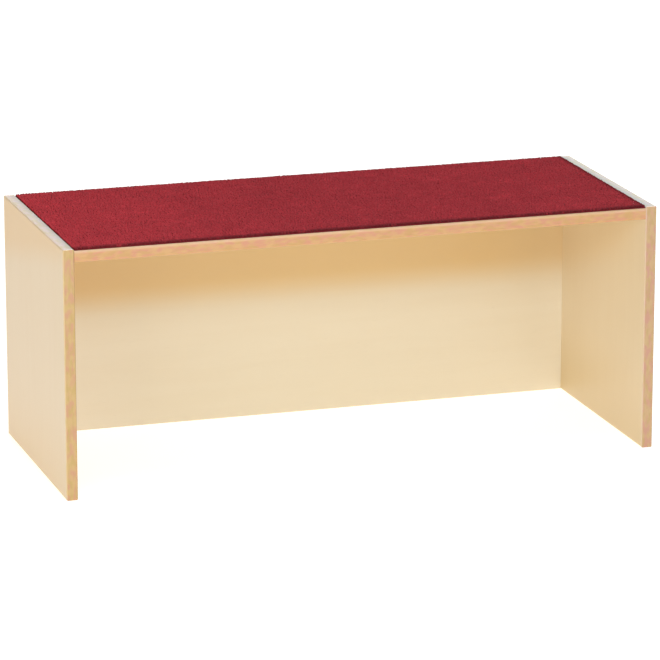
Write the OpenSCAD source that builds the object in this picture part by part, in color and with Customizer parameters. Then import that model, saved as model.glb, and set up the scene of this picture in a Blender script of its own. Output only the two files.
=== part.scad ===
// Low bench with a carpeted seat between two end panels and a back panel.
// Origin: middle of the footprint on the floor. +X to the right, +Y to the back, +Z up.

/* [Bench] */
// Overall width across both end panels
bench_w = 1000; // [700:10:1300]
// Overall depth of the end panels, front edge to back edge
bench_d = 400; // [300:10:500]
// Height of the end panels above the floor
bench_h = 410; // [280:10:500]

/* [Boards] */
// Thickness of every board
board_t = 19; // [16:0.5:25]
// How far the seat board's top lies below the tops of the end panels
seat_drop = 2.5; // [0:0.5:10]
// How far the seat's front edge stands back from the front edges of the end panels
seat_setback = 1; // [0:0.5:10]
// How far the seat and the back panel stand in from the back edges of the end panels
back_inset = 2; // [1.5:0.5:10]

/* [Edge strips] */
// Thickness of the strip glued along each board edge: beech, or coated like the faces along the bottom
strip_t = 3; // [2:0.5:5]
// Radius of the eased arrises, no more than the strip's thickness
arris_r = 2.5; // [1:0.25:5]

/* [Carpet] */
// Thickness of the carpet, backing and pile together
carpet_t = 5; // [3:0.5:10]
// Distance from the carpet's edge to the seat's front and back edges
carpet_margin = 2; // [1:0.5:10]
// Gap between the carpet's ends and the end panels
carpet_gap = 0.5; // [0.3:0.1:3]

/* [Dowels] */
// Diameter of the beech dowels
dowel_d = 8; // [6:0.5:10]
// Length of the beech dowels
dowel_l = 35; // [25:1:50]
// Material left under a dowel hole that is drilled into a board's face
dowel_floor = 6.5; // [5:0.5:9]

/* [Cam fittings] */
// Diameter of the cam housing
cam_d = 15; // [12:0.5:18]
// How far the housing's hole goes past the middle of the board
cam_past_middle = 4; // [3:0.5:6]
// Distance from the end of the board to the housing's axis
cam_reach = 24; // [20:1:40]
// Diameter of the connecting bolt's shank
bolt_d = 6; // [5:0.5:7]
// Diameter of the bolt's hole along the board
bolt_hole_d = 8; // [7.5:0.5:9]
// Depth of the bolt's threaded end in the end panel
bolt_thread_l = 11; // [9:0.5:12]
// Diameter of the cap over each cam housing
cap_d = 17.5; // [16:0.5:22]
// Thickness of the cap's visible rim
cap_t = 1.2; // [0.8:0.1:2]

/* [Fits] */
// Radial clearance around dowels, bolts and cam housings
fit_clear = 0.05; // [0.02:0.01:0.1]
// Room left at the blind end of each hole
end_room = 0.5; // [0.2:0.1:1]

/* [Hidden] */
$fn = 64;
SIDES = [-1, 1];
arris = min(arris_r, strip_t);

// End panels and what lies between them
inner_x = bench_w / 2 - board_t;
inner_w = 2 * inner_x;
end_mid_x = bench_w / 2 - board_t / 2;

// Seat board
seat_front = -bench_d / 2 + seat_setback;
seat_rear = bench_d / 2 - back_inset;
seat_depth = seat_rear - seat_front;
seat_mid_y = (seat_front + seat_rear) / 2;
seat_top = bench_h - seat_drop;
seat_z = seat_top - board_t;
seat_mid_z = seat_top - board_t / 2;

// Back panel
back_mid_y = seat_rear - board_t / 2;

// Places of the joints, as shares of the seat's depth and the back panel's height
seat_cam_y = [for (f = [0.17, 0.74]) seat_front + f * seat_depth];
seat_dowel_y = [for (f = [0.08, 0.45, 0.86]) seat_front + f * seat_depth];
back_cam_z = [for (f = [0.25, 0.75]) f * seat_z];
back_dowel_z = [for (f = [0.1, 0.5, 0.9]) f * seat_z];
rail_dowel_x = [for (f = [-0.375, -0.125, 0.125, 0.375]) f * inner_w];

// Dowels and the holes around them
dowel_in_face = board_t - dowel_floor - end_room;
dowel_in_edge = dowel_l - dowel_in_face;
dowel_bevel = 1;

// Cam fittings: each housing lies across the board, and its bolt along the board's middle plane
cam_hole_h = board_t / 2 + cam_past_middle;
cam_h = cam_hole_h - end_room;
cam_pocket_r = bolt_hole_d / 2 - 0.3;
cam_pocket_past = 4;
cam_slot = [8, 1.6, 2.5];
cam_socket_r = 2;
bolt_head_l = 3;
bolt_neck_l = 3;
bolt_collar_l = 1.5;
bolt_neck_r = bolt_d / 2 - 1;
bolt_collar_r = bolt_hole_d / 2 - 0.2;
bolt_head_r = bolt_hole_d / 2 - 0.7;
bolt_shank_end = cam_reach - bolt_neck_l - bolt_head_l / 2;
cap_stub_l = 2;

// Overlap of a cutter past the face that it opens
past = 1;

// ---------- shared shapes ----------

// Rectangle with round corners, centred
module rounded_rect(a, b, r) {
    square([a - 2 * r, b], center = true);
    square([a, b - 2 * r], center = true);
    for (x = SIDES, y = SIDES)
        translate([x * (a / 2 - r), y * (b / 2 - r)]) circle(r);
}

// What is drawn for the right-hand side, or its mirror image on the left
module on_side(side) {
    if (side > 0) children();
    else mirror([1, 0, 0]) children();
}

// Cylinder along X from x0 to x1
module rod(x0, x1, r) {
    translate([x0, 0, 0]) rotate([0, 90, 0]) cylinder(h = x1 - x0, r = r);
}

// ---------- joint places: the meeting face at x = 0, the end panel or seat towards +X ----------

// Ends of the seat and of the back panel
module at_end_dowels() {
    for (side = SIDES) on_side(side) {
        for (y = seat_dowel_y) translate([inner_x, y, seat_mid_z]) children();
        for (z = back_dowel_z) translate([inner_x, back_mid_y, z]) children();
    }
}

// Top edge of the back panel, up into the seat
module at_rail_dowels() {
    for (x = rail_dowel_x) translate([x, back_mid_y, seat_z]) rotate([0, -90, 0]) children();
}

// Cam fittings, opening downwards under the seat and backwards behind the back panel
module at_cams() {
    for (side = SIDES) on_side(side) {
        for (y = seat_cam_y) translate([inner_x, y, seat_mid_z]) children();
        for (z = back_cam_z) translate([inner_x, back_mid_y, z]) rotate([90, 0, 0]) children();
    }
}

// ---------- holes ----------

module dowel_hole_in_face() {
    rod(-past, dowel_in_face + end_room, dowel_d / 2 + fit_clear);
}

module dowel_hole_in_edge() {
    rod(-dowel_in_edge - end_room, past, dowel_d / 2 + fit_clear);
}

module bolt_hole_in_face() {
    rod(-past, bolt_thread_l + end_room, bolt_d / 2 + fit_clear);
}

module cam_holes_in_board() {
    rod(-cam_reach, past, bolt_hole_d / 2);
    translate([-cam_reach, 0, -board_t / 2 - past])
        cylinder(h = cam_hole_h + past, r = cam_d / 2 + fit_clear);
}

// ---------- end panels ----------

// Outline of the finished right-hand panel with its strips, all long arrises eased
module end_blank() {
    translate([end_mid_x, 0, 0]) intersection() {
        linear_extrude(bench_h) rounded_rect(board_t, bench_d, arris);
        translate([0, bench_d / 2, bench_h / 2]) rotate([90, 0, 0])
            linear_extrude(bench_d) rounded_rect(board_t, bench_h, arris);
    }
}

// The part of that outline between two heights and two depths
module end_slice(y0, y1, z0, z1) {
    intersection() {
        end_blank();
        translate([inner_x - past, y0, z0]) cube([board_t + 2 * past, y1 - y0, z1 - z0]);
    }
}

module end_panel(side) {
    color("wheat") difference() {
        on_side(side) translate([inner_x, -bench_d / 2 + strip_t, strip_t])
            cube([board_t, bench_d - 2 * strip_t, bench_h - 2 * strip_t]);
        at_end_dowels() dowel_hole_in_face();
        at_cams() bolt_hole_in_face();
    }
}

module end_front_strip(side) {
    color("burlywood") on_side(side)
        end_slice(-bench_d / 2 - past, -bench_d / 2 + strip_t, -past, bench_h + past);
}

module end_back_strip(side) {
    color("burlywood") on_side(side)
        end_slice(bench_d / 2 - strip_t, bench_d / 2 + past, -past, bench_h + past);
}

module end_top_strip(side) {
    color("burlywood") on_side(side)
        end_slice(-bench_d / 2 + strip_t, bench_d / 2 - strip_t, bench_h - strip_t, bench_h + past);
}

module end_bottom_strip(side) {
    color("wheat") on_side(side)
        end_slice(-bench_d / 2 + strip_t, bench_d / 2 - strip_t, -past, strip_t);
}

// ---------- seat ----------

// Outline of the finished seat board with its strips, front and back arrises eased
module seat_blank() {
    translate([-inner_x, seat_mid_y, seat_mid_z]) rotate([90, 0, 90])
        linear_extrude(inner_w) rounded_rect(seat_depth, board_t, arris);
}

module seat_panel() {
    color("wheat") difference() {
        translate([-inner_x, seat_front + strip_t, seat_z])
            cube([inner_w, seat_depth - 2 * strip_t, board_t]);
        at_end_dowels() dowel_hole_in_edge();
        at_rail_dowels() dowel_hole_in_face();
        at_cams() cam_holes_in_board();
    }
}

module seat_strip(y0) {
    color("burlywood") intersection() {
        seat_blank();
        translate([-inner_x - past, y0, seat_z - past])
            cube([inner_w + 2 * past, strip_t, board_t + 2 * past]);
    }
}

module seat_front_strip() {
    seat_strip(seat_front);
}

module seat_back_strip() {
    seat_strip(seat_rear - strip_t);
}

// A plain slab of the carpet's size, glued flat on the seat board
module seat_carpet() {
    color("firebrick")
        translate([-inner_x + carpet_gap, seat_front + carpet_margin, seat_top])
            cube([inner_w - 2 * carpet_gap, seat_depth - 2 * carpet_margin, carpet_t]);
}

// ---------- back panel ----------

module back_panel() {
    color("wheat") difference() {
        translate([-inner_x, seat_rear - board_t, strip_t])
            cube([inner_w, board_t, seat_z - strip_t]);
        at_end_dowels() dowel_hole_in_edge();
        at_rail_dowels() dowel_hole_in_edge();
        at_cams() cam_holes_in_board();
    }
}

module back_panel_bottom_strip() {
    color("wheat") intersection() {
        translate([-inner_x, back_mid_y, seat_z / 2]) rotate([90, 0, 90])
            linear_extrude(inner_w) rounded_rect(board_t, seat_z, arris);
        translate([-inner_x - past, seat_rear - board_t - past, -past])
            cube([inner_w + 2 * past, board_t + 2 * past, strip_t + past]);
    }
}

// ---------- dowels and cam fittings ----------

// Round beech dowel with bevelled ends, part in the edge and part in the face
module dowel() {
    r = dowel_d / 2;
    translate([-dowel_in_edge, 0, 0]) rotate([0, 90, 0]) rotate_extrude()
        polygon([[0, 0], [r - dowel_bevel, 0], [r, dowel_bevel], [r, dowel_l - dowel_bevel],
                 [r - dowel_bevel, dowel_l], [0, dowel_l]]);
}

module end_dowels() {
    color("tan") at_end_dowels() dowel();
}

module rail_dowels() {
    color("tan") at_rail_dowels() dowel();
}

// Die-cast barrel with a side pocket for the bolt's head and a cross slot for the driver
module cam_housing() {
    difference() {
        translate([-cam_reach, 0, -board_t / 2]) cylinder(h = cam_h, r = cam_d / 2);
        rod(-cam_reach - cam_pocket_past, past, cam_pocket_r);
        translate([-cam_reach, 0, -board_t / 2]) {
            for (turn = [0, 90]) rotate([0, 0, turn]) translate([0, 0, cam_slot[2] / 2 - past / 2])
                cube([cam_slot[0], cam_slot[1], cam_slot[2] + past], center = true);
            translate([0, 0, -past]) cylinder(h = cap_stub_l + end_room + past, r = cam_socket_r);
        }
    }
}

module cam_housings() {
    color("silver") at_cams() cam_housing();
}

// Bolt: threaded end in the end panel, collar at the face, shank, neck and head
module cam_bolt() {
    rod(0, bolt_thread_l, bolt_d / 2);
    rod(-bolt_collar_l, 0, bolt_collar_r);
    rod(-bolt_shank_end, -bolt_collar_l, bolt_d / 2);
    rod(-bolt_shank_end - bolt_neck_l, -bolt_shank_end, bolt_neck_r);
    rod(-bolt_shank_end - bolt_neck_l - bolt_head_l, -bolt_shank_end - bolt_neck_l, bolt_head_r);
}

module cam_bolts() {
    color("gainsboro") at_cams() cam_bolt();
}

// Thin cap that hides each housing, held by a stub in the housing's socket
module cam_cap() {
    translate([-cam_reach, 0, -board_t / 2]) {
        translate([0, 0, -cap_t]) cylinder(h = cap_t, r = cap_d / 2);
        cylinder(h = cap_stub_l, r = cam_socket_r - fit_clear);
    }
}

module cam_caps() {
    color("wheat") at_cams() cam_cap();
}

end_panel(-1);  // left_end_panel
end_panel(1);  // right_end_panel
seat_panel();
back_panel();
end_front_strip(-1);  // left_front_strip
end_back_strip(-1);  // left_back_strip
end_top_strip(-1);  // left_top_strip
end_bottom_strip(-1);  // left_bottom_strip
end_front_strip(1);  // right_front_strip
end_back_strip(1);  // right_back_strip
end_top_strip(1);  // right_top_strip
end_bottom_strip(1);  // right_bottom_strip
seat_front_strip();
seat_back_strip();
back_panel_bottom_strip();
seat_carpet();
end_dowels();
rail_dowels();
cam_housings();
cam_bolts();
cam_caps();
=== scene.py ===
"""A low bench with a carpeted seat: finishes, carpet, floor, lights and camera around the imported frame."""

import math

import bmesh
import bpy
from mathutils import Euler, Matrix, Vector, noise


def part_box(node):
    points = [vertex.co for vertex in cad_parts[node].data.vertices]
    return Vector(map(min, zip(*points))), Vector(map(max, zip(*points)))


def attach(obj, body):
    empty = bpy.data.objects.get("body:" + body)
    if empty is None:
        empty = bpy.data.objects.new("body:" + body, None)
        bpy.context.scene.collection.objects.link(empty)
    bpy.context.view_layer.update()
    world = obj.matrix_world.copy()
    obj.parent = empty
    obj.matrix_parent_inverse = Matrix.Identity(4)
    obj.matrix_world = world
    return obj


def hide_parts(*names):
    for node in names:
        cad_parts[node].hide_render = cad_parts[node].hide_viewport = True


bl_info = {
    "name": "Carpeted bench",
    "version": (1, 0, 0),
    "blender": (4, 5, 0),
    "location": "3D View > Sidebar > Bench",
    "description": "Finishes a low carpeted bench: boards, strips, carpet, fittings and a studio stage",
    "category": "Object",
}

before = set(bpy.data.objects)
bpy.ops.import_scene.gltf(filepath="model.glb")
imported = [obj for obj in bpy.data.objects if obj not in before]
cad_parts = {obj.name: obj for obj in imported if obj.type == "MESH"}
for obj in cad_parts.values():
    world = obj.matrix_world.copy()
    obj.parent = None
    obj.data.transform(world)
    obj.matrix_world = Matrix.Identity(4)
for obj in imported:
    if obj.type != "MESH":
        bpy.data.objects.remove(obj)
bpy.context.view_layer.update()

MM = 0.001
BODY = "root"
CARPET_LOW, CARPET_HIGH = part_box("seat_carpet")
SEAT_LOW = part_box("seat_panel")[0]
BENCH_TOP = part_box("left_end_panel")[1].z
AXES = {"X": 0, "Y": 1, "Z": 2}

# Studio lights: azimuth and elevation in degrees seen from the bench, 0 in front and turning to the right
BENCH_MIDDLE = Vector((0.0, 0.0, 0.2))
LIGHTS = {
    "key_light": dict(
        azimuth=-4, elevation=27, distance=5, size=(0.95, 0.95),
        colour=(0.186, 0.258, 0.355),
    ),
    "wide_light": dict(
        azimuth=-40, elevation=15, distance=4, size=(3.0, 3.0),
        colour=(0.173, 0.205, 0.188),
    ),
    "side_light": dict(
        azimuth=-90, elevation=25, distance=4, size=(3.0, 3.0),
        colour=(0.11, 0.052, 0.01),
    ),
    "back_light": dict(
        azimuth=162, elevation=14, distance=5, size=(5.0, 2.2),
        colour=(0.35, 0.35, 0.35),
    ),
    "top_light": dict(
        azimuth=0, elevation=89, distance=4, size=(2.5, 2.5),
        colour=(0.32, 0.32, 0.32),
    ),
}

# Which way the figure of each board runs, and which way the board is thick
BOARDS = {
    "left_end_panel": ("Z", "X"),
    "right_end_panel": ("Z", "X"),
    "seat_panel": ("X", "Z"),
    "back_panel": ("X", "Y"),
}
# Which way each strip's grain runs, and which way its board is thick
STRIPS = {
    "left_front_strip": ("Z", "X"),
    "left_back_strip": ("Z", "X"),
    "right_front_strip": ("Z", "X"),
    "right_back_strip": ("Z", "X"),
    "left_top_strip": ("Y", "X"),
    "right_top_strip": ("Y", "X"),
    "seat_front_strip": ("X", "Z"),
    "seat_back_strip": ("X", "Z"),
}
# Top strips whose pale grey colour is a painted reflection and whose finish is dulled
WORN_SHEEN_STRIPS = ("left_top_strip", "right_top_strip")
# Painted light: colours that shift some strips from the others', standing in for the light each one gets
NO_TINT = (1.0, 1.0, 1.0)
PAINTED_STRIP_LIGHT = {
    "left_front_strip": (1.02, 1.06, 1.0),
    "right_front_strip": (1.0, 1.01, 1.18),
    "seat_front_strip": (1.12, 0.98, 0.95),
    "right_top_strip": (0.93, 1.05, 1.10),
}
# The strips under the boards are coated like the faces
COATED_STRIPS = {"left_bottom_strip": "Y", "right_bottom_strip": "Y", "back_panel_bottom_strip": "X"}
DOWEL_GRAIN = {"end_dowels": "X", "rail_dowels": "Z"}

# Where painted shade lies on the boards' coating. A line falls by so much for each metre further back: the
# seat's painted shadow starts at the seat's front edge and the painted shade below the top at the bench's top.
# A band tells how far below its line, in metres, the painted shade starts and is full
SHADE_FALL, SHADE_BAND = 0.35, (0.070, 0.012)
TOP_FALL, TOP_BAND = 0.21, (0.077, 0.022)
# Depth behind the seat's front edge over which the seat's painted shadow comes in, and height that the painted
# shade near the floor reaches
SHADE_FRONT, LOW_REACH = 0.16, 0.17

# Shares of the painted shade's warm colour: the seat's painted shadow on the back panel and how much less at
# its right end, on the end panels inside, near the floor inside and outside, all over the outside, and outside
# below the top
BACK_SHADE, BACK_RIGHT_LESS, BACK_RIGHT_BAND = 0.84, 0.26, (0.3, 0.48)
END_SHADE, LOW_INSIDE_SHADE, LOW_OUTSIDE_SHADE = 0.18, 0.42, 0.20
OUTSIDE_SHADE, TOP_SHADE = 0.06, 0.5

# Painted light at the ends of the back panel's front face, along X, and painted shade at the right end panel's
# foot inside
BACK_END_LIGHT = (1.17, 1.20, 1.25)
LEFT_END_BAND, RIGHT_END_BAND, RIGHT_END_SHARE = (-0.52, -0.26), (0.42, 0.52), 0.6
FOOT_REACH, FOOT_SHADE = 0.14, (0.90, 0.91, 0.88)

# Edge strips: how wide the painted highlight and painted shade along the arrises are, how wide a top strip's
# outer edge without the darker grey is, and how much painted reflection, dulling and gloss the top strips and
# the others have
ARRIS, SEAT_ARRIS, UNDARKENED_EDGE = 2.4 * MM, 6.0 * MM, 3.0 * MM
WORN_WEAR_AND_SHEEN, WORN_GLOSS = 0.82, 0.1
NEW_WEAR_AND_SHEEN, NEW_GLOSS = 0.0, 0.55

# Pile: how wide its darker rims, partly dark roots at the cut edge and partly painted shade, and its painted
# light along the left edge are, how far a rim wanders, and the painted light at the left end
FRONT_RIM, BACK_RIM, RIGHT_RIM, LIT_LEFT_EDGE = 14 * MM, 8 * MM, 12 * MM, 6 * MM
RAGGED = 7 * MM
LEFT_LIGHT_BAND, LEFT_LIGHT_TINT = (-0.52, -0.02), (1.22, 1.22, 1.22)

# Tufts: scatter of their places, radius at the root and reach of the edge's lean in shares of the pitch, how
# far the middle swells from the cone, the way the pile lies, and how much of the lean wanders
TUFT_SCATTER, TUFT_RADIUS, EDGE_REACH = 0.30, 0.42, 2.5
TUFT_SWELL = (2.7, 2.7, 1.44)
PILE_LAY = (0.35, -0.8, 0)
WANDER_SCALE, WANDER_SHARE, WILD_SHARE = 14.0, (2.2, 2.2, 0), (1.3, 1.3, 0)

# Backing: pitch of its threads, step of its mesh, and how close and how high its ripples are
THREAD, BACKING_STEP = 2.2 * MM, 6 * MM
RIPPLE_SCALE, RIPPLE_HEIGHT = 90, 0.15 * MM

# Stage: half the floor's width, and the point that the camera looks at
FLOOR_HALF = 14.0
CAMERA_AIM = Vector((0.005, 0.007, 0.188))


# ---------- settings ----------


class BoardSettings(bpy.types.PropertyGroup):
    face: bpy.props.FloatVectorProperty(
        name="Face colour", description="Pale colour of the coated board faces",
        subtype="COLOR", size=3, min=0, max=1, default=(0.81, 0.655, 0.445))
    figure: bpy.props.FloatVectorProperty(
        name="Figure colour", description="Colour of the faint wood figure in the coating",
        subtype="COLOR", size=3, min=0, max=1, default=(0.78, 0.615, 0.40))
    # Painted shade: the warm colour painted where the seat's shadow and other shade fall on the boards
    shade_tone: bpy.props.FloatVectorProperty(
        name="Deep tone", description="Warm tone of the coating where daylight hasn't faded it",
        subtype="COLOR", size=3, min=0, max=1, default=(0.79, 0.512, 0.205))
    figure_width: bpy.props.FloatProperty(
        name="Figure width", description="Width of one band of the faint figure",
        unit="LENGTH", min=0.005, max=0.1, default=0.022)
    roughness: bpy.props.FloatProperty(
        name="Roughness", description="Roughness of the satin coating",
        subtype="FACTOR", min=0, max=1, default=0.42)


class StripSettings(bpy.types.PropertyGroup):
    light: bpy.props.FloatVectorProperty(
        name="Light wood", description="Lightest colour of the beech",
        subtype="COLOR", size=3, min=0, max=1, default=(0.665, 0.385, 0.14))
    rose: bpy.props.FloatVectorProperty(
        name="Rose wood tone", description="Pinkish tone of the beech",
        subtype="COLOR", size=3, min=0, max=1, default=(0.66, 0.305, 0.155))
    ochre: bpy.props.FloatVectorProperty(
        name="Ochre wood tone", description="Yellowish tone of the beech",
        subtype="COLOR", size=3, min=0, max=1, default=(0.60, 0.35, 0.10))
    # Painted highlight: the pale colour painted along the arrises that catch the light
    pale: bpy.props.FloatVectorProperty(
        name="Pale arris", description="Pale tone of the most handled arrises, where the lacquer is thin",
        subtype="COLOR", size=3, min=0, max=1, default=(0.86, 0.66, 0.40))
    # Painted reflection: pale grey standing in for the light that the lacquered tops reflect
    worn_sheen: bpy.props.FloatVectorProperty(
        name="Worn tone", description="Greyish tone of the tops, which hands and knees have dulled",
        subtype="COLOR", size=3, min=0, max=1, default=(0.80, 0.66, 0.42))
    # Painted reflection: the pinkish patches in that pale grey
    worn_rose_sheen: bpy.props.FloatVectorProperty(
        name="Worn rose tone", description="Cooler tone of the rose patches of the tops",
        subtype="COLOR", size=3, min=0, max=1, default=(0.86, 0.70, 0.64))
    # Darker grey that the top strips turn towards the carpet
    carpet_side_grey: bpy.props.FloatVectorProperty(
        name="Grime", description="Grey of the dust rubbed into the tops beside the carpet",
        subtype="COLOR", size=3, min=0, max=1, default=(0.33, 0.37, 0.36))
    patch: bpy.props.FloatProperty(
        name="Patch length", description="Length of one patch of tone along the strip",
        unit="LENGTH", min=0.005, max=0.2, default=0.017)
    fleck: bpy.props.FloatProperty(
        name="Fleck length", description="Length of the fine dark flecks of the beech",
        unit="LENGTH", min=0.001, max=0.02, default=0.004)
    roughness: bpy.props.FloatProperty(
        name="Roughness", description="Roughness of the lacquered strip",
        subtype="FACTOR", min=0, max=1, default=0.30)


class CarpetSettings(bpy.types.PropertyGroup):
    pitch: bpy.props.FloatProperty(
        name="Tuft pitch", description="Distance between neighbouring tufts",
        unit="LENGTH", min=0.002, max=0.01, default=0.0028)
    backing: bpy.props.FloatProperty(
        name="Backing thickness", description="Thickness of the backing under the pile",
        unit="LENGTH", min=0.0005, max=0.003, default=0.0018)
    lean: bpy.props.FloatProperty(
        name="Pile lean", description="How far the pile lies over, as a share of its height",
        subtype="FACTOR", min=0, max=1, default=0.22)
    edge_lean: bpy.props.FloatProperty(
        name="Edge lean",
        description="How far the outermost tufts fall outwards, or inwards below 0, at the front and back",
        subtype="FACTOR", min=-1, max=1, default=-0.15)
    pieces: bpy.props.IntProperty(
        name="Pile pieces", description="Number of side by side pieces that the pile is made in",
        min=1, max=8, default=4)
    seed: bpy.props.IntProperty(
        name="Seed", description="Seed of the pile's scatter", min=0, max=1000, default=11)
    tip: bpy.props.FloatVectorProperty(
        name="Tip colour", description="Burgundy of the tuft tips",
        subtype="COLOR", size=3, min=0, max=1, default=(0.53, 0.0412, 0.0515))
    # Painted shade: the pile's colour low down, where shade falls between the tufts; the backing's own colour
    # comes from it too
    root: bpy.props.FloatVectorProperty(
        name="Root colour", description="Deep colour low in the pile",
        subtype="COLOR", size=3, min=0, max=1, default=(0.15, 0.0115, 0.014))


class StageSettings(bpy.types.PropertyGroup):
    floor: bpy.props.FloatVectorProperty(
        name="Floor colour", description="Pale floor colour",
        subtype="COLOR", size=3, min=0, max=1, default=(0.93, 0.93, 0.925))
    glow: bpy.props.FloatVectorProperty(
        name="Floor glow", description="Light that the floor gives, as the top of a light table does",
        subtype="COLOR", size=3, min=0, max=1, default=(0.585, 0.583, 0.555))
    surroundings: bpy.props.FloatProperty(
        name="Surroundings", description="Strength of the even light from all around",
        min=0, max=5, default=0.20)
    azimuth: bpy.props.FloatProperty(
        name="Camera azimuth", description="Turn of the camera to the right, from straight in front",
        subtype="ANGLE", default=math.radians(-17.66))
    elevation: bpy.props.FloatProperty(
        name="Camera elevation", description="Height of the camera's line above the horizontal",
        subtype="ANGLE", default=math.radians(14.93))
    distance: bpy.props.FloatProperty(
        name="Camera distance", description="Distance from the camera to the point it looks at",
        unit="LENGTH", min=1, max=30, default=6.92)
    lens: bpy.props.FloatProperty(
        name="Lens", description="Focal length on a sensor 36 mm wide",
        min=20, max=500, default=227.5)


SETTINGS = {
    "bench_boards": BoardSettings,
    "bench_strips": StripSettings,
    "bench_carpet": CarpetSettings,
    "bench_stage": StageSettings,
}


# ---------- material making ----------


class Wire:
    """A socket in a material's tree. Arithmetic on it adds the Math nodes."""

    def __init__(self, paint, socket):
        self.paint = paint
        self.socket = socket

    def math(self, operation, *others):
        return self.paint.math(operation, self, *others)

    def __add__(self, other):
        return self.math("ADD", other)

    def __radd__(self, other):
        return self.paint.math("ADD", other, self)

    def __sub__(self, other):
        return self.math("SUBTRACT", other)

    def __rsub__(self, other):
        return self.paint.math("SUBTRACT", other, self)

    def __mul__(self, other):
        return self.math("MULTIPLY", other)

    def __rmul__(self, other):
        return self.paint.math("MULTIPLY", other, self)

    def __pow__(self, other):
        return self.math("POWER", other)

    def __abs__(self):
        return self.math("ABSOLUTE")

    def between(self, low, high):
        """0 at or below low and 1 at or above high, with a smooth rise."""
        return self.paint.add(
            "ShaderNodeMapRange",
            {"interpolation_type": "SMOOTHSTEP"},
            {"Value": self, "From Min": low, "From Max": high},
        )


class Paint:
    """A node material under construction, on Object coordinates."""

    def __init__(self, name):
        self.material = bpy.data.materials.new(name)
        self.material.use_nodes = True
        self.tree = self.material.node_tree
        self.tree.nodes.clear()
        self.coords = self.add("ShaderNodeTexCoord", output="Object")

    def add(self, kind, settings=None, inputs=None, output=0):
        """Adds a node, sets it up, then fills or links its sockets, and returns one of its outputs."""
        node = self.tree.nodes.new(kind)
        for name, value in (settings or {}).items():
            setattr(node, name, value)
        for name, value in (inputs or {}).items():
            self._put(node.inputs[name], value)
        return Wire(self, node.outputs[output])

    def _put(self, socket, value):
        if isinstance(value, Wire):
            self.tree.links.new(value.socket, socket)
        elif socket.type == "RGBA":
            socket.default_value = (*value, 1.0)
        else:
            socket.default_value = value

    def math(self, operation, *values):
        return self.add("ShaderNodeMath", {"operation": operation}, dict(enumerate(values)))

    def mix(self, factor, first, second, mode="MIX"):
        """Two colours mixed, or multiplied, by a factor."""
        inputs = {0: factor, 6: first, 7: second}
        return self.add("ShaderNodeMix", {"data_type": "RGBA", "blend_type": mode}, inputs, output=2)

    def axis(self, letter):
        """One coordinate, in metres."""
        return self.add("ShaderNodeSeparateXYZ", None, {0: self.coords}, output=AXES[letter])

    def stretched(self, letter, times, offset=(0.0, 0.0, 0.0)):
        """Coordinates in which a pattern is longer by times along one axis."""
        scale = [1.0, 1.0, 1.0]
        scale[AXES[letter]] = 1.0 / times
        inputs = {"Vector": self.coords, "Location": offset, "Scale": scale}
        return self.add("ShaderNodeMapping", None, inputs)

    def noise(self, size, detail=2.0, coords=None, roughness=0.5, distortion=0.0):
        """Noise from 0 to 1 whose features are about size metres across."""
        inputs = {
            "Vector": coords or self.coords,
            "Scale": 1.0 / size,
            "Detail": detail,
            "Roughness": roughness,
            "Distortion": distortion,
        }
        return self.add("ShaderNodeTexNoise", None, inputs)

    def cells(self, size, coords=None, output="Distance"):
        """Cells about size metres across: the distance from each one's middle, or its colour."""
        inputs = {"Vector": coords or self.coords, "Scale": 1.0 / size}
        return self.add("ShaderNodeTexVoronoi", None, inputs, output=output)

    def bump(self, height, distance, strength):
        """A normal from a height map."""
        inputs = {"Height": height, "Distance": distance, "Strength": strength}
        return self.add("ShaderNodeBump", None, inputs)

    def finish(self, colour, roughness, normal, **uniform):
        """Ends the material in one Principled surface. Uniform values sit on its own sockets."""
        inputs = {"Base Color": colour, "Roughness": roughness, "Normal": normal}
        for name, value in uniform.items():
            inputs[name.replace("_", " ").title().replace("Ior", "IOR")] = value
        surface = self.add("ShaderNodeBsdfPrincipled", None, inputs)
        output = self.tree.nodes.new("ShaderNodeOutputMaterial")
        self.tree.links.new(surface.socket, output.inputs["Surface"])
        return self.material


def outer_side(paint, board, across):
    """0 on the side of a board that faces the space under the seat, and 1 on its other side."""
    low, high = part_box(board)
    middle = abs(low[AXES[across]] + high[AXES[across]]) / 2
    return abs(paint.axis(across)).between(middle - MM, middle + MM)


def painted_shade(paint, board, across):
    """Where a board gets painted shade: the seat's painted shadow inside, above the line that the light
    reaches under the seat's front edge, and less of it outside, just below the top, and near the floor.
    """
    outside = outer_side(paint, board, across)
    depth, height = paint.axis("Y"), paint.axis("Z")
    inside = depth.between(SEAT_LOW.y, SEAT_LOW.y + SHADE_FRONT) * (1.0 - outside)
    line = SEAT_LOW.z + SEAT_LOW.y * SHADE_FALL
    start, full = (line - gap for gap in SHADE_BAND)
    shaded = (height + depth * SHADE_FALL).between(start, full) * inside
    if board == "back_panel":
        return shaded * (BACK_SHADE - paint.axis("X").between(*BACK_RIGHT_BAND) * BACK_RIGHT_LESS)
    start, full = (BENCH_TOP - gap for gap in TOP_BAND)
    below_top = (height + depth * TOP_FALL).between(start, full)
    low_down = 1.0 - height.between(0.0, LOW_REACH)
    low_share = LOW_INSIDE_SHADE - outside * (LOW_INSIDE_SHADE - LOW_OUTSIDE_SHADE)
    return shaded * END_SHADE + low_down * low_share + outside * (OUTSIDE_SHADE + below_top * TOP_SHADE)


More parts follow.
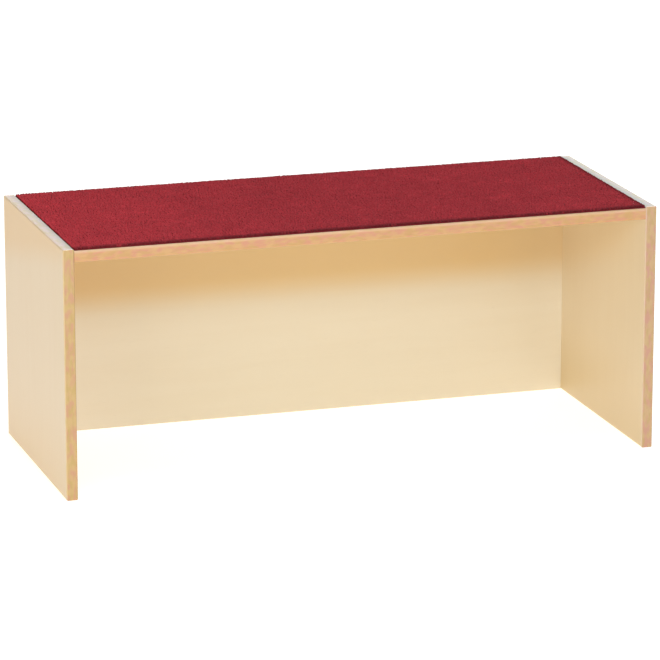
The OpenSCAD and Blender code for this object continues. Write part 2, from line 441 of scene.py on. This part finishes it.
def board_tones(paint, board, across, colour, looks):
    """The coating's colour with the painted shade and painted light that this board gets from its place in the
    bench.
    """
    if board == "seat_panel":
        return colour
    # Painted shade: the warm shade colour mixed in over the board
    colour = paint.mix(painted_shade(paint, board, across), colour, tuple(looks.shade_tone))
    inside = 1.0 - outer_side(paint, board, across)
    if board == "back_panel":
        # Painted light: the back panel's front face lighter towards its ends
        place = paint.axis("X")
        right_end = place.between(*RIGHT_END_BAND) * RIGHT_END_SHARE
        ends = 1.0 - place.between(*LEFT_END_BAND) * (1.0 - right_end)
        colour = paint.mix(ends * inside, colour, BACK_END_LIGHT, "MULTIPLY")
    # Painted shade: the right end panel darker at its foot inside
    if board == "right_end_panel":
        foot = 1.0 - paint.axis("Z").between(0.0, FOOT_REACH)
        colour = paint.mix(foot * inside, colour, FOOT_SHADE, "MULTIPLY")
    return colour


def coated_board(name, grain, place, looks, board=None, across="X"):
    """Satin coated board: a pale even face with a faint long figure and a fine pressed texture."""
    paint = Paint(name)
    offset = (place * 1.7, place * 0.9, place * 2.3)
    along = paint.stretched(grain, 9.0, offset)
    bands = paint.noise(looks.figure_width, 3.0, along, 0.55, 0.6)
    cloud = paint.noise(0.16, 2.0, paint.stretched(grain, 2.0, offset))
    pores = paint.noise(0.0011, 2.0, paint.stretched(grain, 14.0, offset), 0.6)
    figure = (bands.between(0.38, 0.68) * 0.55 + cloud.between(0.3, 0.75) * 0.45) * 0.42
    colour = paint.mix(figure, tuple(looks.face), tuple(looks.figure))
    if board:
        # Painted shade and painted light from the board's place in the bench
        colour = board_tones(paint, board, across, colour, looks)
    colour = paint.mix(pores.between(0.60, 0.78) * 0.16, colour, tuple(c * 0.80 for c in looks.figure))
    pearl = paint.noise(0.0009, 1.0)
    roughness = looks.roughness + (cloud - 0.5) * 0.06 + (pearl - 0.5) * 0.10
    normal = paint.bump(pearl * 0.6 + pores * 0.4, 0.00006, 0.5)
    return paint.finish(colour, roughness, normal, coat_weight=0.12, coat_roughness=0.3)


def arris_tones(paint, arrises, colour, rose, wear_and_sheen, looks):
    """A strip's colour with its arrises: a painted highlight along one and painted shade along the other. The
    highlighted one is the upper one of a level strip, the outer one of a dulled top strip and else the left
    one.
    """
    axis, low, high = arrises
    place = paint.axis(axis)
    if wear_and_sheen > 0:
        # Painted reflection: the top strips' pale grey colour stands in for the light their lacquer reflects
        dulled = paint.mix(rose.between(0.36, 0.64), tuple(looks.worn_sheen), tuple(looks.worn_rose_sheen))
        colour = paint.mix(wear_and_sheen, colour, dulled)
        # The top strips turn a darker grey towards the carpet
        inner, outer = sorted((abs(low), abs(high)))
        carpet_side_grey = 1.0 - abs(place).between(inner, outer - UNDARKENED_EDGE)
        colour = paint.mix(carpet_side_grey * 0.5, colour, tuple(looks.carpet_side_grey))
    level = axis == "Z"
    # Painted highlight along one arris and painted shade along the other
    near = 1.0 - place.between(low, low + ARRIS)
    far = place.between(high - (SEAT_ARRIS if level else ARRIS), high)
    far_lit = level or (wear_and_sheen > 0 and low > 0)
    handled, shaded_arris = (far, near) if far_lit else (near, far)
    colour = paint.mix(handled * (0.35 + rose * 0.65), colour, tuple(looks.pale))
    return paint.mix(shaded_arris * 0.7 * (1.0 - wear_and_sheen), colour, tuple(c * 0.8 for c in looks.ochre))


def beech(name, grain, looks, gloss, arrises=None, wear_and_sheen=0.0, painted_light=NO_TINT):
    """Steamed beech: soft rose and ochre patches, fine dark flecks along the grain, under lacquer.

    arrises gives the axis across the strip and its two ends. A dulled top strip has a painted reflection in
    its pale grey colour and a rougher finish, and turns a darker grey towards the middle of the bench.
    """
    paint = Paint(name)
    rose = paint.noise(looks.patch / 2.4, 1.0, paint.stretched(grain, 2.4), 0.5, 0.3)
    ochre = paint.noise(looks.patch / 2.8, 1.0, paint.stretched(grain, 2.8, (0.31, 0.17, 0.23)), 0.5)
    colour = paint.mix(rose.between(0.36, 0.64), tuple(looks.light), tuple(looks.rose))
    colour = paint.mix(ochre.between(0.46, 0.68) * 0.8, colour, tuple(looks.ochre))
    lines = paint.noise(0.0016, 3.0, paint.stretched(grain, 30.0), 0.6, 0.2)
    colour = paint.mix(lines.between(0.5, 0.8) * 0.15, colour, tuple(c * 0.62 for c in looks.rose))
    flecks = paint.cells(looks.fleck / 5.0, paint.stretched(grain, 5.0))
    fleck = 1.0 - flecks.between(0.06, 0.20)
    colour = paint.mix(fleck * 0.25, colour, tuple(c * 0.42 for c in looks.rose))
    if arrises:
        colour = arris_tones(paint, arrises, colour, rose, wear_and_sheen, looks)
    # Painted light: the strip's colour multiplied to stand in for the light it gets
    colour = paint.mix(1.0, colour, painted_light, "MULTIPLY")
    roughness = looks.roughness + wear_and_sheen * 0.25 + (lines - 0.5) * 0.14 + fleck * 0.10
    normal = paint.bump(lines * 0.5 - fleck * 0.5, 0.00008, 0.6)
    return paint.finish(colour, roughness, normal, coat_weight=gloss, coat_roughness=0.16)


def pile_yarn(name, looks):
    """Cut pile: painted shade low down and burgundy at the tips, each tuft a little different, darker along
    the front, back and right rims, partly dark roots at the cut edge and partly painted shade, and painted
    light along the left edge and towards the left end.
    """
    paint = Paint(name)
    low, high = CARPET_LOW, CARPET_HIGH
    along, across = paint.axis("X"), paint.axis("Y")
    height = paint.axis("Z").between(low.z + looks.backing, high.z - 0.4 * MM)
    # Painted light: along the left edge the pile keeps its tip colour
    lit_left_edge = 1.0 - along.between(low.x, low.x + LIT_LEFT_EDGE)
    height = height + (1.0 - height) * lit_left_edge * 0.9
    ragged = (paint.noise(0.006, 2.0) - 0.5) * RAGGED
    # Darker rims: partly dark roots showing at the cut edge, partly painted shade
    rim = (across + ragged).between(low.y, low.y + FRONT_RIM)
    rim = rim * (1.0 - (across + ragged).between(high.y - BACK_RIM, high.y))
    rim = rim * (1.0 - (along + ragged).between(high.x - RIGHT_RIM, high.x))
    # Painted shade: low in the pile the colour turns to the root colour
    colour = paint.mix(height ** 1.3 * (rim * 0.85 + 0.15), tuple(looks.root), tuple(looks.tip))
    tone = paint.add("ShaderNodeAttribute", {"attribute_name": "tuft_tone"}, output="Fac")
    drift = paint.noise(0.055, 2.0) * 0.5 + paint.noise(0.016, 1.0) * 0.5
    fibre = paint.noise(0.0005, 2.0, paint.stretched("Z", 5.0), 0.7)
    shade = (tone - 0.5) * 0.16 + (drift - 0.5) * 0.46 + (fibre - 0.5) * 0.14
    lighter, darker = tuple(min(1.0, c * 1.55) for c in looks.tip), tuple(c * 1.4 for c in looks.root)
    colour = paint.mix(shade.between(0.02, 0.20) * 0.55, colour, lighter)
    colour = paint.mix((0.0 - shade).between(0.02, 0.20) * 0.55, colour, darker)
    # Painted light: the carpet lighter towards its left end
    faded = 1.0 - along.between(*LEFT_LIGHT_BAND)
    colour = paint.mix(faded, colour, LEFT_LIGHT_TINT, "MULTIPLY")
    return paint.finish(
        colour, 0.88 + (fibre - 0.5) * 0.16, paint.bump(fibre, 0.0003, 0.7),
        specular_ior_level=0.10, sheen_weight=0.06, sheen_roughness=0.45)


def backing_cloth(name, looks):
    """Dark woven backing under the pile, with the pattern of its threads."""
    paint = Paint(name)
    warp = (paint.axis("X") * (2 * math.pi / THREAD)).math("SINE")
    weft = (paint.axis("Y") * (2 * math.pi / THREAD)).math("SINE")
    weave = warp * weft * 0.5 + 0.5
    fuzz = paint.noise(0.0007, 3.0)
    mask = weave * 0.5 + fuzz * 0.5
    colour = paint.mix(mask, tuple(c * 0.6 for c in looks.root), tuple(c * 1.9 for c in looks.root))
    normal = paint.bump(mask, 0.0004, 0.8)
    return paint.finish(colour, 0.9 + (fuzz - 0.5) * 0.1, normal, specular_ior_level=0.15)


def zinc_plate(name):
    """Zinc-plated metal: a satin silver with faint cloudy crystals and turning marks."""
    paint = Paint(name)
    crystals = paint.cells(0.0021, output="Color")
    level = paint.add("ShaderNodeRGBToBW", None, {0: crystals})
    scratch = paint.noise(0.0004, 2.0, paint.stretched("X", 12.0))
    colour = paint.mix(level, (0.58, 0.59, 0.60), (0.72, 0.72, 0.71))
    roughness = 0.30 + level * 0.14 + (scratch - 0.5) * 0.16
    return paint.finish(colour, roughness, paint.bump(scratch, 0.00003, 0.5), metallic=1.0)


def moulded_cap(name, looks):
    """Cream moulded plastic with a fine spark-eroded texture."""
    paint = Paint(name)
    grit = paint.noise(0.0004, 2.0)
    cloud = paint.noise(0.006, 1.0)
    colour = paint.mix(cloud * 0.4, tuple(looks.face), tuple(c * 0.93 for c in looks.face))
    return paint.finish(colour, 0.5 + (grit - 0.5) * 0.2, paint.bump(grit, 0.00005, 0.6))


def studio_floor(name, looks):
    """Matt pale studio floor with an even fine tooth."""
    paint = Paint(name)
    tooth = paint.noise(0.004, 2.0)
    cloud = paint.noise(1.3, 2.0)
    colour = paint.mix(cloud * 0.5, tuple(looks.floor), tuple(c * 0.985 for c in looks.floor))
    return paint.finish(colour, 0.75 + (tooth - 0.5) * 0.1, paint.bump(tooth, 0.0002, 0.3),
                        specular_ior_level=0.2, emission_color=tuple(looks.glow), emission_strength=1.0)


# ---------- mesh helpers ----------


def put_material(node_name, material):
    """Gives a CAD node its finish."""
    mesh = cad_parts[node_name].data
    mesh.materials.clear()
    mesh.materials.append(material)


def new_piece(name, mesh):
    """A finished piece at the origin that rides on the bench."""
    piece = bpy.data.objects.new(name, mesh)
    bpy.context.scene.collection.objects.link(piece)
    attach(piece, BODY)
    return piece


def closed_slab(name, low, high, step, top):
    """A closed slab with a fine grid on top, whose height comes from top(x, y)."""
    cells = [max(2, round((high[i] - low[i]) / step)) for i in (0, 1)]
    build = bmesh.new()

    def layer(height):
        rows = []
        for j in range(cells[1] + 1):
            y = low.y + (high.y - low.y) * j / cells[1]
            row = []
            for i in range(cells[0] + 1):
                x = low.x + (high.x - low.x) * i / cells[0]
                row.append(build.verts.new((x, y, height(x, y))))
            rows.append(row)
        return rows

    upper = layer(top)
    lower = layer(lambda x, y: low.z)
    for j in range(cells[1]):
        for i in range(cells[0]):
            for rows in (upper, lower):
                build.faces.new([rows[j][i], rows[j][i + 1], rows[j + 1][i + 1], rows[j + 1][i]])
    for i in range(cells[0]):
        for j in (0, cells[1]):
            build.faces.new([upper[j][i], upper[j][i + 1], lower[j][i + 1], lower[j][i]])
    for j in range(cells[1]):
        for i in (0, cells[0]):
            build.faces.new([upper[j][i], upper[j + 1][i], lower[j + 1][i], lower[j][i]])
    bmesh.ops.recalc_face_normals(build, faces=build.faces)
    mesh = bpy.data.meshes.new(name)
    build.to_mesh(mesh)
    build.free()
    return mesh


# ---------- pile, as geometry nodes ----------


class Growth:
    """A geometry node tree under construction."""

    def __init__(self, name):
        self.tree = bpy.data.node_groups.new(name, "GeometryNodeTree")
        self.tree.interface.new_socket("Geometry", in_out="OUTPUT", socket_type="NodeSocketGeometry")
        self.inputs = {}

    def size(self, name, kind="NodeSocketFloat"):
        """A named input of the tree."""
        socket = self.tree.interface.new_socket(name, in_out="INPUT", socket_type=kind)
        self.inputs[name] = socket.identifier

    def begin(self):
        self.entry = self.tree.nodes.new("NodeGroupInput")

    def given(self, name):
        return self.entry.outputs[name]

    def add(self, kind, settings=None, inputs=None, output=0):
        node = self.tree.nodes.new(kind)
        for name, value in (settings or {}).items():
            setattr(node, name, value)
        for name, value in (inputs or {}).items():
            socket = node.inputs[name]
            if isinstance(value, bpy.types.NodeSocket):
                self.tree.links.new(value, socket)
            else:
                socket.default_value = value
        return node.outputs[output]

    def math(self, operation, *values):
        return self.add("ShaderNodeMath", {"operation": operation}, dict(enumerate(values)))

    def vector(self, operation, *values):
        return self.add("ShaderNodeVectorMath", {"operation": operation}, dict(enumerate(values)))

    def random(self, low, high, seed, vector=False):
        """A random value, or vector, for each point."""
        if vector:
            inputs = {0: low, 1: high, "Seed": seed}
            return self.add("FunctionNodeRandomValue", {"data_type": "FLOAT_VECTOR"}, inputs, output=0)
        inputs = {2: low, 3: high, "Seed": seed}
        return self.add("FunctionNodeRandomValue", {"data_type": "FLOAT"}, inputs, output=1)

    def end(self, geometry):
        out = self.tree.nodes.new("NodeGroupOutput")
        self.tree.links.new(geometry, out.inputs["Geometry"])


def pile_tree(material):
    """Tufts on a jittered grid: each a small bud that leans with the lay of the pile."""
    grow = Growth("carpet_pile")
    for name in ("Length", "Width", "Pitch", "Height", "Lean", "Edge Lean", "Half Depth"):
        grow.size(name)
    grow.size("Rows", "NodeSocketInt")
    grow.size("Columns", "NodeSocketInt")
    grow.size("Seed", "NodeSocketInt")
    grow.size("Middle", "NodeSocketVector")
    grow.begin()
    pitch, seed = grow.given("Pitch"), grow.given("Seed")

    grid = grow.add("GeometryNodeMeshGrid", None, {
        "Size X": grow.given("Length"), "Size Y": grow.given("Width"),
        "Vertices X": grow.given("Columns"), "Vertices Y": grow.given("Rows")})
    spread = grow.math("MULTIPLY", pitch, TUFT_SCATTER)
    jitter = grow.vector("SCALE", grow.random((-1, -1, 0), (1, 1, 0), seed, vector=True))
    grow.tree.links.new(spread, jitter.node.inputs["Scale"])
    points = grow.add("GeometryNodeSetPosition", None, {"Geometry": grid, "Offset": jitter})

    # One tuft: a four-sided cone whose middle ring swells into a bud
    radius = grow.math("MULTIPLY", pitch, TUFT_RADIUS)
    tuft = grow.add("GeometryNodeMeshCone", {"fill_type": "NGON"}, {
        "Vertices": 4, "Side Segments": 2, "Fill Segments": 1,
        "Radius Top": 0.0, "Radius Bottom": radius, "Depth": grow.given("Height")})
    place = grow.add("GeometryNodeInputPosition")
    level = grow.math("DIVIDE", grow.add("ShaderNodeSeparateXYZ", None, {0: place}, output=2),
                      grow.given("Height"))
    in_middle = grow.math("COMPARE", level, 0.5, 0.1)
    swollen = grow.vector("MULTIPLY", place, TUFT_SWELL)
    tuft = grow.add("GeometryNodeSetPosition", None, {
        "Geometry": tuft, "Selection": in_middle, "Position": swollen})

    # Lean: one way, wandering slowly over the carpet, and further in or out at the front and back
    here = grow.add("GeometryNodeInputPosition")
    world = grow.vector("ADD", here, grow.given("Middle"))
    inputs = {"Vector": world, "Scale": WANDER_SCALE, "Detail": 2.0}
    wander = grow.add("ShaderNodeTexNoise", None, inputs, output="Color")
    wander = grow.vector("SUBTRACT", wander, (0.5, 0.5, 0.5))
    wander = grow.vector("MULTIPLY", wander, WANDER_SHARE)
    wild = grow.random((-0.5, -0.5, 0), (0.5, 0.5, 0), grow.math("ADD", seed, 1), vector=True)
    wild = grow.vector("MULTIPLY", wild, WILD_SHARE)
    lay = grow.vector("ADD", grow.vector("ADD", wander, wild), PILE_LAY)
    lay = grow.vector("SCALE", lay)
    grow.tree.links.new(grow.given("Lean"), lay.node.inputs["Scale"])
    across = grow.add("ShaderNodeSeparateXYZ", None, {0: here}, output=1)
    rim = grow.math("SUBTRACT", grow.math("ABSOLUTE", across), grow.given("Half Depth"))
    rim = grow.math("ADD", grow.math("DIVIDE", rim, grow.math("MULTIPLY", pitch, EDGE_REACH)), 1.0)
    rim = grow.math("MULTIPLY", grow.math("MAXIMUM", rim, 0.0), grow.math("SIGN", across))
    rim = grow.math("MULTIPLY", rim, grow.given("Edge Lean"))
    outwards = grow.add("ShaderNodeCombineXYZ", None, {1: rim})
    upright = grow.vector("ADD", grow.vector("ADD", lay, outwards), (0, 0, 1))
    turn = grow.add("FunctionNodeAlignRotationToVector", {"axis": "Z"}, {"Vector": upright})
    spin = grow.random(0.0, 2 * math.pi, grow.math("ADD", seed, 2))
    spin = grow.add("ShaderNodeCombineXYZ", None, {2: spin})
    spin = grow.add("FunctionNodeEulerToRotation", None, {0: spin})
    turn = grow.add("FunctionNodeRotateRotation", {"rotation_space": "LOCAL"}, {
        "Rotation": turn, "Rotate By": spin})

    girth = grow.random(0.88, 1.12, grow.math("ADD", seed, 3))
    rise = grow.random(0.86, 1.04, grow.math("ADD", seed, 4))
    scale = grow.add("ShaderNodeCombineXYZ", None, {0: girth, 1: girth, 2: rise})
    tufts = grow.add("GeometryNodeInstanceOnPoints", None, {
        "Points": points, "Instance": tuft, "Rotation": turn, "Scale": scale})
    tone = grow.random(0.0, 1.0, grow.math("ADD", seed, 5))
    tufts = grow.add("GeometryNodeStoreNamedAttribute", {"domain": "INSTANCE", "data_type": "FLOAT"}, {
        "Geometry": tufts, "Name": "tuft_tone", "Value": tone})
    tufts = grow.add("GeometryNodeRealizeInstances", None, {"Geometry": tufts})
    tufts = grow.add("GeometryNodeSetPosition", None, {"Geometry": tufts, "Offset": grow.given("Middle")})
    tufts = grow.add("GeometryNodeSetShadeSmooth", None, {0: tufts})
    tufts = grow.add("GeometryNodeSetMaterial", None, {"Geometry": tufts, "Material": material})
    grow.end(tufts)
    return grow


def grown_mesh(name, grow, values):
    """The plain mesh that a tree makes with these values."""
    holder = bpy.data.objects.new(name, bpy.data.meshes.new(name + "_start"))
    bpy.context.scene.collection.objects.link(holder)
    modifier = holder.modifiers.new("growth", "NODES")
    modifier.node_group = grow.tree
    for key, value in values.items():
        modifier[grow.inputs[key]] = value
    depsgraph = bpy.context.evaluated_depsgraph_get()
    mesh = bpy.data.meshes.new_from_object(holder.evaluated_get(depsgraph))
    mesh.name = name
    bpy.data.objects.remove(holder)
    return mesh


# ---------- operators ----------


class BENCH_OT_boards(bpy.types.Operator):
    """Coat the faces of the four boards"""

    bl_idname = "bench.boards"
    bl_label = "Finish Boards"

    def execute(self, context):
        looks = context.scene.bench_boards
        for place, (name, (grain, across)) in enumerate(BOARDS.items()):
            put_material(name, coated_board("coated_" + name, grain, place, looks, name, across))
        return {"FINISHED"}


class BENCH_OT_strips(bpy.types.Operator):
    """Give the edge strips and the dowels their beech"""

    bl_idname = "bench.strips"
    bl_label = "Finish Edge Strips"

    def execute(self, context):
        looks = context.scene.bench_strips
        for name, (grain, across) in STRIPS.items():
            gloss, wear_and_sheen = (WORN_GLOSS, WORN_WEAR_AND_SHEEN) if name in WORN_SHEEN_STRIPS else (NEW_GLOSS, NEW_WEAR_AND_SHEEN)
            low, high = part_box(name)
            arrises = (across, low[AXES[across]], high[AXES[across]])
            painted_light = PAINTED_STRIP_LIGHT.get(name, NO_TINT)
            put_material(name, beech("beech_" + name, grain, looks, gloss, arrises, wear_and_sheen, painted_light))
        for place, (name, grain) in enumerate(COATED_STRIPS.items()):
            put_material(name, coated_board("coated_" + name, grain, place, context.scene.bench_boards))
        for name, grain in DOWEL_GRAIN.items():
            put_material(name, beech("raw_beech_" + name, grain, looks, gloss=0.0))
        return {"FINISHED"}


class BENCH_OT_fittings(bpy.types.Operator):
    """Finish the hidden metal fittings and their caps"""

    bl_idname = "bench.fittings"
    bl_label = "Finish Fittings"

    def execute(self, context):
        plate = zinc_plate("zinc_plate")
        for name in ("cam_housings", "cam_bolts"):
            put_material(name, plate)
        put_material("cam_caps", moulded_cap("moulded_cap", context.scene.bench_boards))
        return {"FINISHED"}


class BENCH_OT_carpet(bpy.types.Operator):
    """Lay the carpet: its woven backing and the cut pile that grows from it"""

    bl_idname = "bench.carpet"
    bl_label = "Lay Carpet"

    def execute(self, context):
        looks = context.scene.bench_carpet
        low, high = CARPET_LOW, CARPET_HIGH

        def top(x, y):
            ripple = noise.noise(Vector((x * RIPPLE_SCALE, y * RIPPLE_SCALE, 0.0)))
            return low.z + looks.backing + ripple * RIPPLE_HEIGHT

        mesh = closed_slab("carpet_backing", low, high, BACKING_STEP, top)
        mesh.materials.append(backing_cloth("backing_cloth", looks))
        backing = new_piece("carpet_backing", mesh)
        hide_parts("seat_carpet")

        grow = pile_tree(pile_yarn("pile_yarn", looks))
        root = low.z + looks.backing - 0.3 * MM
        rows = int((high.y - low.y) / looks.pitch)
        length = (high.x - low.x) / looks.pieces
        columns = int(length / looks.pitch)
        for piece in range(looks.pieces):
            middle = (low.x + length * (piece + 0.5), (low.y + high.y) / 2, root)
            mesh = grown_mesh(f"carpet_pile_{piece + 1}", grow, {
                "Length": length - length / columns,
                "Width": high.y - low.y - looks.pitch,
                "Rows": rows,
                "Columns": columns,
                "Pitch": looks.pitch,
                "Height": high.z - root,
                "Lean": looks.lean,
                "Edge Lean": looks.edge_lean,
                "Half Depth": (high.y - low.y) / 2,
                "Seed": looks.seed + piece * 10,
                "Middle": middle,
            })
            if not mesh.polygons:
                raise RuntimeError("the carpet pile came out empty")
            new_piece(mesh.name, mesh)
        return {"FINISHED"}


def soft_light(name, azimuth, elevation, distance, size, colour):
    """A flat light that faces the bench. A white surface square to it would shine with the given colour."""
    lamp = bpy.data.lights.new(name, "AREA")
    lamp.shape = "RECTANGLE"
    lamp.size, lamp.size_y = size
    lamp.energy = (math.pi * distance) ** 2
    lamp.color = colour
    light = bpy.data.objects.new(name, lamp)
    turn = Euler((math.radians(90 - elevation), 0.0, math.radians(azimuth)), "XYZ")
    light.rotation_euler = turn
    light.location = BENCH_MIDDLE + turn.to_matrix() @ Vector((0.0, 0.0, distance))
    light.visible_camera = False
    bpy.context.scene.collection.objects.link(light)


class BENCH_OT_stage(bpy.types.Operator):
    """Set the pale floor, the soft lights and the camera"""

    bl_idname = "bench.stage"
    bl_label = "Set Stage"

    def execute(self, context):
        looks = context.scene.bench_stage
        scene = context.scene

        mesh = bpy.data.meshes.new("studio_floor")
        corners = [(x * FLOOR_HALF, y * FLOOR_HALF, 0.0) for x, y in ((-1, -1), (1, -1), (1, 1), (-1, 1))]
        mesh.from_pydata(corners, [], [(0, 1, 2, 3)])
        mesh.materials.append(studio_floor("studio_floor", looks))
        floor = bpy.data.objects.new("studio_floor", mesh)
        scene.collection.objects.link(floor)

        world = bpy.data.worlds.new("soft_surroundings")
        world.use_nodes = True
        background = world.node_tree.nodes["Background"]
        background.inputs["Color"].default_value = (1.0, 1.0, 1.0, 1.0)
        background.inputs["Strength"].default_value = looks.surroundings
        scene.world = world
        for name, light in LIGHTS.items():
            soft_light(name, **light)

        turn = Euler((math.pi / 2 - looks.elevation, 0.0, looks.azimuth), "XYZ")
        camera = bpy.data.objects.new("camera", bpy.data.cameras.new("camera"))
        camera.data.lens = looks.lens
        camera.data.sensor_width = 36.0
        camera.data.clip_end = 60.0
        camera.rotation_euler = turn
        camera.location = CAMERA_AIM + turn.to_matrix() @ Vector((0.0, 0.0, looks.distance))
        scene.collection.objects.link(camera)
        scene.camera = camera
        scene.view_settings.view_transform = "Standard"
        return {"FINISHED"}


class BENCH_PT_panel(bpy.types.Panel):
    """Steps that finish the bench"""

    bl_idname = "BENCH_PT_panel"
    bl_label = "Carpeted Bench"
    bl_space_type = "VIEW_3D"
    bl_region_type = "UI"
    bl_category = "Bench"

    def draw(self, context):
        for name, group in SETTINGS.items():
            box = self.layout.box()
            for key in group.__annotations__:
                box.prop(getattr(context.scene, name), key)
        for step in STEPS:
            self.layout.operator(step.bl_idname)


STEPS = (BENCH_OT_boards, BENCH_OT_strips, BENCH_OT_fittings, BENCH_OT_carpet, BENCH_OT_stage)
CLASSES = (*SETTINGS.values(), *STEPS, BENCH_PT_panel)


def register():
    for made in CLASSES:
        bpy.utils.register_class(made)
    for name, group in SETTINGS.items():
        setattr(bpy.types.Scene, name, bpy.props.PointerProperty(type=group))


def unregister():
    for name in SETTINGS:
        delattr(bpy.types.Scene, name)
    for made in reversed(CLASSES):
        bpy.utils.unregister_class(made)


def main():
    register()
    bpy.ops.bench.boards()
    bpy.ops.bench.strips()
    bpy.ops.bench.fittings()
    bpy.ops.bench.carpet()
    bpy.ops.bench.stage()


if __name__ == "__main__":
    main()
